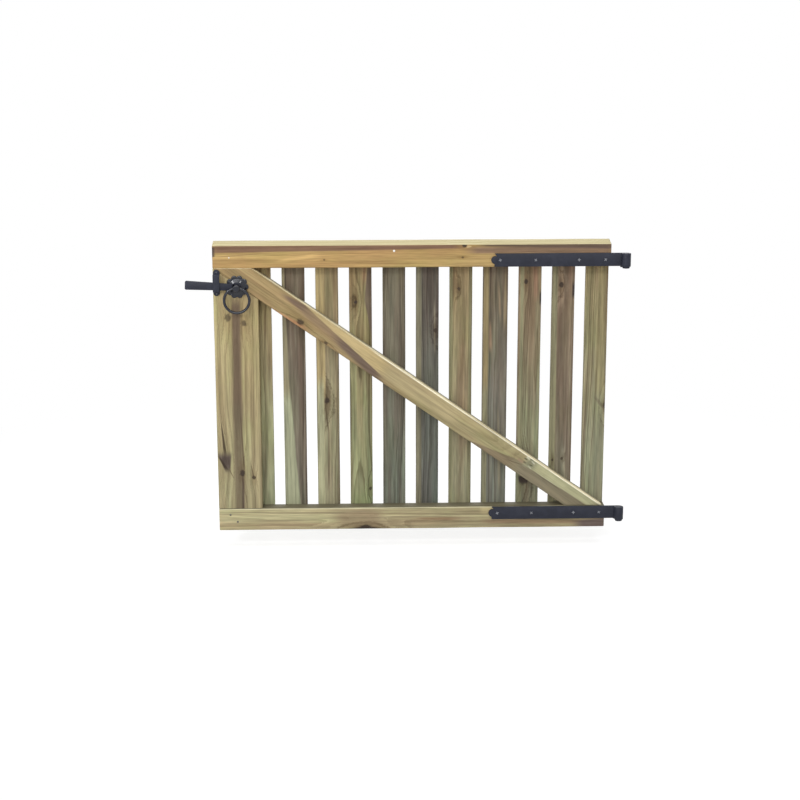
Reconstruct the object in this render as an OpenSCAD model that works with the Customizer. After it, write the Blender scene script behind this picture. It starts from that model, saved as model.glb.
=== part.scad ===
// Wooden garden gate: a framed leaf of upright palings with a diagonal brace, hung by two
// strap hinges on screw-in pintles and closed by a ring latch. Millimetres, +Z up, real size.
// X runs to the right along the gate and Y away from its framed face. The origin is on the
// face of the lower pintle's plate that bears on the gate post, level with the strap's middle.

/* [Leaf] */
// Width of the leaf over its rails
gate_w = 1200; // [900:10:1500]
// Height of the leaf over its rails
gate_h = 900; // [700:10:1200]
// Height of the bottom rail
rail_h = 70; // [55:1:100]
// Height of the top rail at its back
top_rail_h = 78; // [60:1:110]
// Thickness of the rails, the lock board and the brace
rail_t = 45; // [30:1:60]
// Fall of the top rail's weathered top towards the framed face
top_fall = 10; // [2:1:20]
// Width of the lock board at the latch end
lock_w = 135; // [115:1:180]
// Width of the diagonal brace
brace_w = 67; // [50:1:100]
// Distance of the brace's foot from the leaf's end
brace_in = 8; // [0:1:20]
// Chamfer along the edges of the sawn timber
edge_ease = 2; // [0.5:0.5:4]
// Gap between timbers that meet on a slant
joint_gap = 0.2; // [0.1:0.1:0.5]

/* [Palings] */
// Number of upright palings
paling_count = 12; // [6:1:16]
// Width of a paling
paling_w = 69; // [50:1:80]
// Thickness of a paling
paling_t = 20; // [12:1:28]
// The paling, counted from the latch end, that is a wider board
wide_paling = 9; // [1:1:16]
// Extra width of the wider board
wide_extra = 7; // [0:1:15]
// Drop of the paling tops below the top rail's back edge
paling_drop = 6; // [4:1:20]

/* [Strap hinges] */
// Distance from the hinge pin's axis to the leaf's end
hinge_reach = 43; // [30:1:60]
// Length of a strap from its nose to the pin's axis
strap_len = 406; // [250:1:550]
// Height of a strap
strap_h = 40; // [30:1:50]
// Thickness of the strap iron
strap_t = 6; // [4:0.5:8]
// Distance of a strap from the inner edge of its rail
strap_inset = 1; // [0:0.5:10]
// Radius of the round nose at the strap's end
nose_r = 12; // [8:0.5:14]
// Length of the nose past the strap's shoulders
nose_len = 10; // [6:0.5:12]
// Distances of the screws from the nose's end
screw_share = [0.067, 0.33, 0.653, 0.85]; // [0.05:0.01:0.87]
// Diameter of a screw hole
hole_d = 7; // [5:0.5:9]
// Diameter of the countersink round it
sink_d = 13; // [10:0.5:16]
// Width of the seam where the eye's roll meets the strap
roll_seam = 0.6; // [0.4:0.1:1]

/* [Pintles] */
// Diameter of the upright hinge pin
pin_d = 16; // [12:1:20]
// Radial clearance of the pin in the strap's eye
pin_clear = 0.05; // [0.02:0.01:0.1]
// Length of the pin above the eye
pin_proud = 0.5; // [0.5:0.5:3]
// Diameter of the round lug that carries the eye
lug_d = 22; // [20:1:27]
// Thickness of the lug
lug_t = 5; // [5:0.5:12]
// Width of the lug's neck
neck_w = 18; // [14:1:20]
// Play between the eye and the lug
seat_gap = 0.3; // [0.2:0.1:0.6]
// Width of the plate that bears on the post
plate_w = 28; // [24:1:45]
// Thickness of the plate
plate_t = 5; // [3:0.5:8]
// Distance of the plate's top below the eye's top
plate_low = 6; // [2:1:10]
// Chamfer round the plate's face
plate_ease = 1; // [0.5:0.5:2]
// Room between the eye and the plate
plate_gap = 5; // [5:0.5:15]
// Diameter of the screw shank that goes into the post
screw_d = 14; // [10:1:16]
// Length of the screw shank before its point
screw_len = 60; // [50:1:120]
// Distance of the shank below the middle of the eye
screw_low = 12; // [0:1:14]
// Length of the screw's point
screw_tip = 10; // [6:1:15]

/* [Ring latch] */
// Distance of the latch's pivot from the leaf's end
latch_in = 72; // [65:1:90]
// Distance of the latch's pivot below the top rail
latch_drop = 56; // [50:1:120]
// Radius of the rosette over its lobes
rosette_r = 35; // [28:1:38]
// Number of lobes round the rosette
lobe_count = 10; // [6:1:12]
// Radius of one lobe
lobe_r = 9.5; // [6:0.5:10]
// Thickness of the rosette's rim
rosette_t = 3.5; // [2.5:0.5:5]
// Height of the rosette's dome above the board
dome_h = 8; // [7:0.5:12]
// Wall of the rosette's dome
dome_wall = 3; // [2:0.5:4]
// Radius of the spindle
spindle_r = 6; // [5:0.5:8]
// Radial clearance of the spindle in the rosette
spindle_clear = 0.05; // [0.02:0.01:0.1]
// Radius of the spindle's rivet head inside the dome
rivet_r = 9; // [8:0.5:11]
// Thickness of the rivet head
rivet_t = 2.5; // [2:0.5:3]
// Play between the turning latch and the rosette
turn_gap = 0.3; // [0.2:0.1:0.6]
// Length of the latch bar from its pivot
bar_len = 155; // [120:1:200]
// Height of the bar at its tip
bar_tip_h = 27; // [20:1:32]
// Height of the bar where it joins its hub
bar_root_h = 20; // [16:1:24]
// Chamfer at the corners of the bar's tip
tip_ease = 3; // [1:0.5:6]
// Thickness of the bar
bar_t = 6; // [4:0.5:8]
// Radius of the hub round the pivot
hub_r = 15; // [13:0.5:18]
// Rise of the resting bar towards its tip, in degrees
bar_rest = 3; // [0:0.5:5]
// Lift of the bar in its keeper, in degrees
bar_lift = 14; // [8:1:16]
// Radius of the boss that carries the ring
boss_r = 11; // [10:0.5:14]
// Outer diameter of the ring
ring_d = 84; // [70:1:110]
// Diameter of the ring's bar
ring_bar_d = 8.5; // [6:0.5:9]
// Play of the ring in the boss
ring_play = 0.4; // [0.3:0.1:0.8]
// Room between the ring and the latch bar
ring_room = 6; // [5:0.5:12]
// Metal left past the ring's hole at the boss's end
boss_wall = 5; // [4:0.5:8]
// Rounding of the boss's end
boss_round = 4; // [2:0.5:4]

/* [Keeper] */
// Width of the keeper along the gate
keeper_w = 20; // [16:1:26]
// Thickness of the keeper's iron
keeper_t = 4; // [3:0.5:5]
// Height of each fixing tab
keeper_tab = 13; // [12:0.5:20]
// Distance of the keeper from the leaf's end
keeper_in = 1; // [0:0.5:10]
// Play between the bar and its keeper
keeper_play = 1.5; // [1:0.5:4]

/* [Hidden] */
$fn = 48;
eps = 0.01;
bore_r = pin_d / 2 + pin_clear;
eye_r = bore_r + strap_t;
pin_y = -(plate_t + plate_gap + eye_r);
eye_z = -strap_h / 2;
lug_z = eye_z - seat_gap - lug_t;
pin_h = eye_z + strap_h - lug_z;
plate_h = pin_h - plate_low;
face_y = pin_y + eye_r;
back_y = face_y + rail_t;
end_x = -hinge_reach;
start_x = end_x - gate_w;
foot_z = eye_z + strap_h + strap_inset - rail_h;
bay_z0 = foot_z + rail_h;
bay_z1 = foot_z + gate_h - top_rail_h;
upper_z = bay_z1 + strap_inset - eye_z;
bay_h = bay_z1 - bay_z0;
brace_run = gate_w - brace_in;
brace_ang = atan(bay_h / brace_run) + asin(brace_w / norm([brace_run, bay_h]));
brace_foot = brace_w / sin(brace_ang);
wide_index = min(wide_paling, paling_count) - 1;
paling_gap = (gate_w - paling_count * paling_w - wide_extra) / (paling_count - 1);
latch_x = start_x + latch_in;
latch_z = bay_z1 - latch_drop;
bar_d0 = dome_h + turn_gap;
bar_d1 = bar_d0 + bar_t;
ring_r = (ring_d - ring_bar_d) / 2;
ring_at = bar_d1 + ring_room + ring_bar_d / 2;
ring_sag = ring_r - sqrt(ring_r * ring_r - boss_r * boss_r);
ring_hole_r = ring_bar_d / 2 + ring_sag + ring_play;
boss_end = ring_at + ring_hole_r + boss_wall;
keeper_near = latch_in - keeper_in - keeper_w;
keeper_far = latch_in - keeper_in;
bar_slope = (bar_tip_h - bar_root_h) / 2 / bar_len;
slot_z0 = keeper_near * tan(bar_rest) - bar_half(keeper_near) / cos(bar_rest) - keeper_play;
slot_top = bar_rest + bar_lift;
slot_z1 = keeper_far * tan(slot_top) + bar_half(keeper_far) / cos(slot_top) + keeper_play;
keeper_z0 = slot_z0 - keeper_t - keeper_tab;
keeper_z1 = slot_z1 + keeper_t + keeper_tab;
keeper_out = bar_d1 + keeper_play + keeper_t;

// half the bar's height at a distance from its pivot
function bar_half(s) = bar_root_h / 2 + bar_slope * s;
// left edge and width of a paling, counted from 0
function paling_x(i) = start_x + i * (paling_w + paling_gap) + (i > wide_index ? wide_extra : 0);
function paling_width(i) = paling_w + (i == wide_index ? wide_extra : 0);
function paling_name(i) = str("paling_", i < 9 ? "0" : "", i + 1);

PALINGS = [for (i = [0 : paling_count - 1]) paling_name(i)];

// a sawn board's section with chamfered edges, from the origin
module eased_section(w, t) {
    polygon([
        [edge_ease, 0], [w - edge_ease, 0], [w, edge_ease], [w, t - edge_ease],
        [w - edge_ease, t], [edge_ease, t], [0, t - edge_ease], [0, edge_ease]
    ]);
}

// lays a flat XZ outline against the framed face, from one depth to another in front of it
module on_face(d0, d1) {
    translate([0, face_y - d0, 0])
        rotate([90, 0, 0])
            linear_extrude(d1 - d0)
                children();
}

// turns a YZ section into a rail along the leaf
module along_leaf() {
    translate([start_x, 0, 0])
        rotate([90, 0, 90])
            linear_extrude(gate_w)
                children();
}

// pintle: screw shank, plate, lug under the eye and upright pin
module pintle(z) {
    color("DimGray")
        translate([0, 0, z]) {
            translate([0, 0, -screw_low])
                rotate([-90, 0, 0]) {
                    cylinder(d = screw_d, h = screw_len);
                    translate([0, 0, screw_len - eps])
                        cylinder(d1 = screw_d, d2 = screw_d / 4, h = screw_tip);
                }
            translate([0, 0, lug_z])
                linear_extrude(plate_h)
                    polygon([
                        [-plate_w / 2, 0], [plate_w / 2, 0], [plate_w / 2, plate_ease - plate_t],
                        [plate_w / 2 - plate_ease, -plate_t], [plate_ease - plate_w / 2, -plate_t],
                        [-plate_w / 2, plate_ease - plate_t]
                    ]);
            translate([-neck_w / 2, pin_y, lug_z])
                cube([neck_w, -pin_y - plate_t / 2, lug_t]);
            translate([0, pin_y, lug_z]) {
                cylinder(d = lug_d, h = lug_t);
                cylinder(d = pin_d, h = pin_h);
                translate([0, 0, pin_h - eps])
                    cylinder(d1 = pin_d, d2 = pin_d - 2 * pin_proud, h = pin_proud);
            }
        }
}

module lower_pintle() {
    pintle(0);
}

module upper_pintle() {
    pintle(upper_z);
}

// top rail with its weathered top
module top_rail() {
    color("Tan")
        along_leaf()
            translate([face_y, bay_z1])
                polygon([
                    [edge_ease, 0], [rail_t - edge_ease, 0], [rail_t, edge_ease],
                    [rail_t, top_rail_h - edge_ease], [rail_t - edge_ease, top_rail_h],
                    [edge_ease, top_rail_h - top_fall], [0, top_rail_h - top_fall - edge_ease],
                    [0, edge_ease]
                ]);
}

module bottom_rail() {
    color("Tan")
        along_leaf()
            translate([face_y, foot_z])
                eased_section(rail_t, rail_h);
}

// board behind the latch, cut on the slant under the brace
module lock_board() {
    top_z = bay_z1 - joint_gap / cos(brace_ang);
    color("BurlyWood")
        on_face(-rail_t, 0)
            polygon([
                [start_x, bay_z0], [start_x + lock_w, bay_z0],
                [start_x + lock_w, top_z - lock_w * tan(brace_ang)], [start_x, top_z]
            ]);
}

// brace from the foot of the hinge end to the top of the latch end
module brace() {
    color("Peru")
        on_face(-rail_t, 0)
            polygon([
                [start_x, bay_z1], [start_x + brace_run - brace_foot, bay_z0],
                [start_x + brace_run, bay_z0], [start_x + brace_foot, bay_z1]
            ]);
}

// upright paling on the back of the rails
module paling(i) {
    color("DarkKhaki")
        translate([paling_x(i), back_y, foot_z])
            linear_extrude(gate_h - paling_drop)
                eased_section(paling_width(i), paling_t);
}

// countersunk screw hole through the strap iron
module screw_hole() {
    sink_h = (sink_d - hole_d) / 2;
    translate([0, 0, -eps])
        cylinder(d = hole_d, h = strap_t + 2 * eps);
    translate([0, 0, strap_t - sink_h])
        cylinder(d1 = hole_d, d2 = sink_d + 2 * eps, h = sink_h + eps);
}

// strap with a round nose and an eye rolled round the pin
module strap(z) {
    color("DimGray")
        translate([0, 0, z + eye_z])
            difference() {
                union() {
                    on_face(0, strap_t) {
                        translate([nose_len - strap_len, 0])
                            square([strap_len - nose_len, strap_h]);
                        translate([nose_r - strap_len, strap_h / 2])
                            circle(nose_r);
                    }
                    translate([0, pin_y, 0])
                        cylinder(r = eye_r, h = strap_h);
                }
                translate([0, pin_y, -eps])
                    cylinder(r = bore_r, h = strap_h + 2 * eps);
                translate([-eye_r, pin_y + bore_r - roll_seam, -eps])
                    cube([eye_r, roll_seam, strap_h + 2 * eps]);
                for (share = screw_share)
                    translate([(share - 1) * strap_len, face_y, strap_h / 2])
                        rotate([90, 0, 0])
                            screw_hole();
            }
}

module lower_strap() {
    strap(0);
}

module upper_strap() {
    strap(upper_z);
}

// scalloped rosette: a rim with lobes, a hollow dome and the spindle's bearing
module latch_rosette() {
    lobe_at = rosette_r - lobe_r;
    hollow_r = rivet_r + dome_wall;
    cap_h = dome_h - rosette_t;
    dome_r = (lobe_at * lobe_at + cap_h * cap_h) / (2 * cap_h);
    color("DimGray")
        translate([latch_x, face_y, latch_z])
            rotate([90, 0, 0])
                difference() {
                    union() {
                        linear_extrude(rosette_t) {
                            circle(lobe_at);
                            for (k = [0 : lobe_count - 1])
                                rotate(k * 360 / lobe_count)
                                    translate([lobe_at, 0])
                                        circle(lobe_r);
                        }
                        intersection() {
                            translate([0, 0, dome_h - dome_r])
                                sphere(dome_r, $fn = 96);
                            cylinder(r = lobe_at, h = dome_h);
                        }
                    }
                    translate([0, 0, -eps])
                        cylinder(r = hollow_r, h = dome_h - dome_wall + eps);
                    cylinder(r = spindle_r + spindle_clear, h = dome_h + eps);
                }
}

// keeper: a bent iron whose bridge holds the bar
module latch_keeper() {
    color("DimGray")
        translate([start_x + keeper_in, face_y, latch_z])
            intersection() {
                rotate([90, 0, 90])
                    linear_extrude(keeper_w)
                        difference() {
                            union() {
                                translate([-keeper_t, keeper_z0])
                                    square([keeper_t, keeper_z1 - keeper_z0]);
                                translate([-keeper_out, slot_z0 - keeper_t])
                                    square([keeper_out, slot_z1 - slot_z0 + 2 * keeper_t]);
                            }
                            translate([keeper_t - keeper_out, slot_z0])
                                square([keeper_out, slot_z1 - slot_z0]);
                        }
                rotate([90, 0, 0])
                    linear_extrude(keeper_out)
                        translate([keeper_w / 2, 0]) {
                            translate([0, keeper_z0 + keeper_w / 2])
                                circle(keeper_w / 2);
                            translate([0, keeper_z1 - keeper_w / 2])
                                circle(keeper_w / 2);
                            translate([-keeper_w / 2, keeper_z0 + keeper_w / 2])
                                square([keeper_w, keeper_z1 - keeper_z0 - keeper_w]);
                        }
            }
}

// latch bar on the spindle, widening to its tip
module latch_bar() {
    color("DimGray")
        translate([latch_x, face_y - bar_d0, latch_z])
            rotate([90, bar_rest, 0])
                difference() {
                    union() {
                        cylinder(r = hub_r, h = bar_t);
                        linear_extrude(bar_t)
                            polygon([
                                [-spindle_r, bar_root_h / 2], [-spindle_r, -bar_root_h / 2],
                                [tip_ease - bar_len, -bar_tip_h / 2],
                                [-bar_len, tip_ease - bar_tip_h / 2],
                                [-bar_len, bar_tip_h / 2 - tip_ease],
                                [tip_ease - bar_len, bar_tip_h / 2]
                            ]);
                    }
                    translate([0, 0, -eps])
                        cylinder(r = spindle_r + spindle_clear, h = bar_t + 2 * eps);
                }
}

// spindle, riveted inside the rosette, with the boss that carries the ring
module latch_spindle() {
    head_d = dome_h - dome_wall - turn_gap;
    color("DimGray")
        translate([latch_x, face_y, latch_z])
            rotate([90, 0, 0])
                difference() {
                    rotate_extrude() {
                        translate([0, head_d - rivet_t])
                            square([rivet_r, rivet_t]);
                        translate([0, head_d - rivet_t])
                            square([spindle_r, boss_end - head_d]);
                        translate([0, bar_d1])
                            square([boss_r, boss_end - boss_round - bar_d1]);
                        translate([0, bar_d1])
                            square([boss_r - boss_round, boss_end - bar_d1]);
                        translate([boss_r - boss_round, boss_end - boss_round])
                            circle(boss_round);
                    }
                    translate([0, 0, ring_at])
                        rotate([0, 90, 0])
                            cylinder(r = ring_hole_r, h = 2 * boss_r + 2 * eps, center = true);
                }
}

// ring hanging in the boss
module latch_ring() {
    color("DimGray")
        translate([latch_x, face_y - ring_at, latch_z - ring_r])
            rotate([90, 0, 0])
                rotate_extrude()
                    translate([ring_r, 0])
                        circle(d = ring_bar_d);
}

lower_pintle();
upper_pintle();
top_rail();
bottom_rail();
lock_board();
brace();
for (i = [0 : paling_count - 1]) paling(i);
lower_strap();
upper_strap();
latch_keeper();
latch_rosette();
latch_bar();
latch_spindle();
latch_ring();
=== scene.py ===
import math

import bmesh
import bpy
from mathutils import Matrix, Vector, noise


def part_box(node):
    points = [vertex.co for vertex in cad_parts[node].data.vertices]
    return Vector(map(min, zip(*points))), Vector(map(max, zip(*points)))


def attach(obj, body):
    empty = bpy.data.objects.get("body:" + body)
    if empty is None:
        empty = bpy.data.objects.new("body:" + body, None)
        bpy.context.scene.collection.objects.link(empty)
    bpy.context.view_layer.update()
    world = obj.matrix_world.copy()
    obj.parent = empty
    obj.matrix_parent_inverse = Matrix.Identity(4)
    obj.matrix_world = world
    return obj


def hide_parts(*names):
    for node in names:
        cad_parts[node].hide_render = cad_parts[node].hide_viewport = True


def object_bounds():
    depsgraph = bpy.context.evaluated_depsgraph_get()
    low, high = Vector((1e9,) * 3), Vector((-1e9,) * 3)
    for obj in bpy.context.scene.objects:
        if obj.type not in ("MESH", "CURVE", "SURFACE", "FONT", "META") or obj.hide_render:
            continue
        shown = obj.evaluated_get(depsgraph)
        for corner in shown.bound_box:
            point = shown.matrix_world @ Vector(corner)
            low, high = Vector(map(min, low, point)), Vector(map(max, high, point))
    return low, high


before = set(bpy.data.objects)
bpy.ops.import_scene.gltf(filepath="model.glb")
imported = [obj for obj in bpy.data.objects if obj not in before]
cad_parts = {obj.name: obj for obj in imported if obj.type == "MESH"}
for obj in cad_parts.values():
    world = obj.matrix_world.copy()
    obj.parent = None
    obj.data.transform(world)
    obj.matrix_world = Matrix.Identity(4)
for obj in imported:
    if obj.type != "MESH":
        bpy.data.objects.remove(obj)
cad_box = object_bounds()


# Pintles: two steel pins that screw into the gate post and carry the leaf. Each has a threaded
# shank, a plate that beds on the post, a lug under the strap's eye and an upright pin with an eased
# end, forged in one and coated satin black.
def put(nodes, kind, values=None, **settings):
    """Adds a node; each of its values is a number, a colour or the output of another node."""
    made = nodes.new(kind)
    for key, value in settings.items():
        setattr(made, key, value)
    for key, value in (values or {}).items():
        if isinstance(value, bpy.types.NodeSocket):
            nodes.id_data.links.new(value, made.inputs[key])
        else:
            made.inputs[key].default_value = value
    return made


def maths(nodes, operation, *values):
    return put(nodes, "ShaderNodeMath", dict(enumerate(values)), operation=operation).outputs[0]


def fade(nodes, value, start, end, low=0.0, high=1.0):
    """Goes smoothly from low to high while the value goes from start to end."""
    values = {"Value": value, "From Min": start, "From Max": end, "To Min": low, "To Max": high}
    return put(nodes, "ShaderNodeMapRange", values, interpolation_type="SMOOTHSTEP").outputs[0]


def tint(nodes, amount, under, over, mode="MIX"):
    """Lays one colour over another."""
    values = {0: amount, 6: under, 7: over}
    return put(nodes, "ShaderNodeMix", values, data_type="RGBA", blend_type=mode).outputs[2]


def paint(red, green, blue):
    """A colour as a screen shows it, 0 to 255, for a shader."""
    def straight(level):
        part = level / 255
        return part / 12.92 if part <= 0.04045 else ((part + 0.055) / 1.055) ** 2.4
    return (straight(red), straight(green), straight(blue), 1.0)


def coated_iron(name, coat, dusty, rubbed, rub, smooth, rough, shine=0.3):
    """Satin coating on black iron, a little uneven, dusty in places and rubbed by use."""
    material = bpy.data.materials.new(name)
    material.use_nodes = True
    nodes = material.node_tree.nodes
    shader = nodes["Principled BSDF"]
    join = nodes.id_data.links.new
    place = put(nodes, "ShaderNodeTexCoord").outputs["Object"]
    cloud = put(nodes, "ShaderNodeTexNoise", {"Vector": place, "Scale": 38.0, "Detail": 4.0}).outputs[0]
    grit = put(nodes, "ShaderNodeTexNoise", {"Vector": place, "Scale": 900.0, "Detail": 2.0}).outputs[0]
    pits = put(nodes, "ShaderNodeTexVoronoi", {"Vector": place, "Scale": 210.0}).outputs[0]
    colour = tint(nodes, fade(nodes, cloud, 0.35, 0.7), paint(*coat), paint(*dusty))
    worn = maths(nodes, "MULTIPLY", fade(nodes, cloud, 0.56, 0.72), fade(nodes, grit, 0.45, 0.65, 0.2, 1.0))
    colour = tint(nodes, maths(nodes, "MULTIPLY", worn, rub), colour, paint(*rubbed))
    join(colour, shader.inputs["Base Color"])
    join(fade(nodes, cloud, 0.3, 0.75, smooth, rough), shader.inputs["Roughness"])
    grains = maths(nodes, "MULTIPLY", grit, 0.5)
    relief = maths(nodes, "MULTIPLY_ADD", fade(nodes, pits, 0.0, 0.25), 0.5, grains)
    bump = put(nodes, "ShaderNodeBump", {"Height": relief, "Strength": 0.2, "Distance": 0.0003})
    join(bump.outputs[0], shader.inputs["Normal"])
    shader.inputs["Specular IOR Level"].default_value = shine
    return material


def turned(bm, profile, place, steps=40):
    """Turns a profile of radii and heights round its own axis and sets it in its place."""
    before = set(bm.verts)
    rim = [bm.verts.new((radius, 0, height)) for radius, height in profile]
    line = [bm.edges.new(pair) for pair in zip(rim, rim[1:])]
    bmesh.ops.spin(bm, geom=rim + line, cent=(0, 0, 0), axis=(0, 0, 1), angle=math.tau,
                   steps=steps, use_merge=True)
    new = [v for v in bm.verts if v not in before]
    bmesh.ops.remove_doubles(bm, verts=new, dist=1e-6)
    bmesh.ops.transform(bm, matrix=place, verts=[v for v in bm.verts if v not in before])


def swept(bm, outline, way):
    """Sweeps a flat outline into a solid; returns its vertices."""
    before = set(bm.verts)
    face = bm.faces.new([bm.verts.new(corner) for corner in outline])
    pushed = bmesh.ops.extrude_face_region(bm, geom=[face])["geom"]
    bmesh.ops.translate(bm, verts=[g for g in pushed if isinstance(g, bmesh.types.BMVert)], vec=way)
    return [v for v in bm.verts if v not in before]


def eased(bm, width, segments=2, sharper=30, edges=None):
    """Rounds the edges that are sharper than so many degrees."""
    bmesh.ops.recalc_face_normals(bm, faces=bm.faces)
    sharp = [e for e in (edges or bm.edges) if e.calc_face_angle(0.0) > math.radians(sharper)]
    bmesh.ops.bevel(bm, geom=sharp, offset=width, offset_type="OFFSET", segments=segments,
                    profile=0.5, affect="EDGES", material=-1, clamp_overlap=True)


def finished(name, bm, material, body, slot, *nodes):
    """Makes the mesh a piece that moves with its body and stands for its solids."""
    bmesh.ops.remove_doubles(bm, verts=bm.verts, dist=1e-6)
    bmesh.ops.recalc_face_normals(bm, faces=bm.faces)
    mesh = bpy.data.meshes.new(name)
    bm.to_mesh(mesh)
    bm.free()
    mesh.materials.append(material)
    mesh.shade_smooth()
    mesh.set_sharp_from_angle(angle=math.radians(35))
    piece = bpy.data.objects.new(name, mesh)
    bpy.context.scene.collection.objects.link(piece)
    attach(piece, body)
    if nodes:
        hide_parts(*nodes)
    return piece


to_front = Matrix.Rotation(math.radians(90), 4, "X")
to_back = Matrix.Rotation(math.radians(-90), 4, "X")
black_iron = coated_iron("satin_black_iron", (29, 32, 44), (40, 43, 55), (84, 84, 88),
                         rub=0.12, smooth=0.5, rough=0.66)

pin_y = -0.02405
pin_r, lug_r, neck_half, plate_half, shank_r = 0.008, 0.011, 0.009, 0.014, 0.007
lug_t, plate_t, plate_low = 0.005, 0.005, 0.006
forged_ease, seat_ease = 0.001, 0.0006
end_long, end_short, end_in = 0.0016, 0.0006, 0.0012
shank_low, shank_end, shank_tip, point_len = 0.012, 0.060, 0.070, 0.001
collar_len, collar_fall = 0.003, 0.006
thread_from, thread_pitch, thread_depth, thread_turns, thread_steps = 0.009, 0.005, 0.0012, 10, 20
crest_half, root_half, root_sink = 0.0003, 0.00225, 0.0004
core_r = shank_r - thread_depth
for pintle, strap in (("lower_pintle", "lower_strap"), ("upper_pintle", "upper_strap")):
    low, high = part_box(pintle)
    eye_low, eye_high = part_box(strap)
    shank_z = (eye_low[2] + eye_high[2]) / 2 - shank_low
    lug_top = low[2] + lug_t
    bm = bmesh.new()
    swept(bm, [(-plate_half, 0, low[2]), (plate_half, 0, low[2]), (plate_half, -plate_t, low[2]),
               (-plate_half, -plate_t, low[2])], (0, 0, eye_high[2] - plate_low - low[2]))
    swept(bm, [(-neck_half, pin_y, low[2]), (neck_half, pin_y, low[2]), (neck_half, -plate_t / 2, low[2]),
               (-neck_half, -plate_t / 2, low[2])], (0, 0, lug_t))
    eased(bm, forged_ease)
    turned(bm, [(0, low[2]), (lug_r - forged_ease, low[2]), (lug_r, low[2] + forged_ease),
                (lug_r, lug_top - seat_ease), (lug_r - seat_ease, lug_top), (pin_r, lug_top),
                (pin_r, high[2] - end_long), (pin_r - end_in / 3, high[2] - end_short),
                (pin_r - end_in, high[2]), (0, high[2])],
           Matrix.Translation((0, pin_y, 0)))
    turned(bm, [(0, shank_tip), (core_r / 3, shank_tip - point_len), (core_r, shank_end),
                (core_r, collar_fall), (shank_r, collar_len), (shank_r, 0), (0, 0)],
           Matrix.Translation((0, 0, shank_z)) @ to_back)
    before = set(bm.verts)
    ridge = [bm.verts.new((radius, 0, height)) for radius, height in (
        (core_r - root_sink, -root_half), (shank_r, -crest_half), (shank_r, crest_half),
        (core_r - root_sink, root_half))]
    ridge_line = [bm.edges.new(pair) for pair in zip(ridge, ridge[1:])]
    bmesh.ops.spin(bm, geom=ridge + ridge_line, cent=(0, 0, 0), axis=(0, 0, 1),
                   dvec=(0, 0, thread_pitch / thread_steps), angle=math.tau * thread_turns,
                   steps=thread_turns * thread_steps)
    bmesh.ops.transform(bm, matrix=Matrix.Translation((0, thread_from, shank_z)) @ to_back,
                        verts=[v for v in bm.verts if v not in before])
    finished(pintle + "_iron", bm, black_iron, "hinge_pins", "black_iron", pintle)


# Top rail: a sawn softwood bar across the head of the leaf, planed, eased along its arrises and
# weathered on top so that rain runs off to the front. Heartwood shows as a dark band along its
# upper edge, and the pale sapwood below it has a small knot near the hinge.
def sawn(outline, way, grain, cuts, ease, stray, seed):
    """A board swept from an outline, with eased arrises and faces that stray as timber does."""
    bm = bmesh.new()
    swept(bm, outline, way)
    along = Vector(grain).normalized()
    runs = [e for e in bm.edges if abs((e.verts[1].co - e.verts[0].co).normalized().dot(along)) > 0.9]
    bmesh.ops.subdivide_edges(bm, edges=runs, cuts=cuts, use_grid_fill=True)
    eased(bm, ease, 3)
    long_waves, short_waves, short_share = 7, 45, 0.3
    for v in bm.verts:
        shift = noise.noise_vector(v.co * long_waves + Vector((seed, 0, 0))) * stray
        shift += noise.noise_vector(v.co * short_waves + Vector((0, seed, 0))) * stray * short_share
        v.co += shift - along * shift.dot(along)
    return bm


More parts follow.
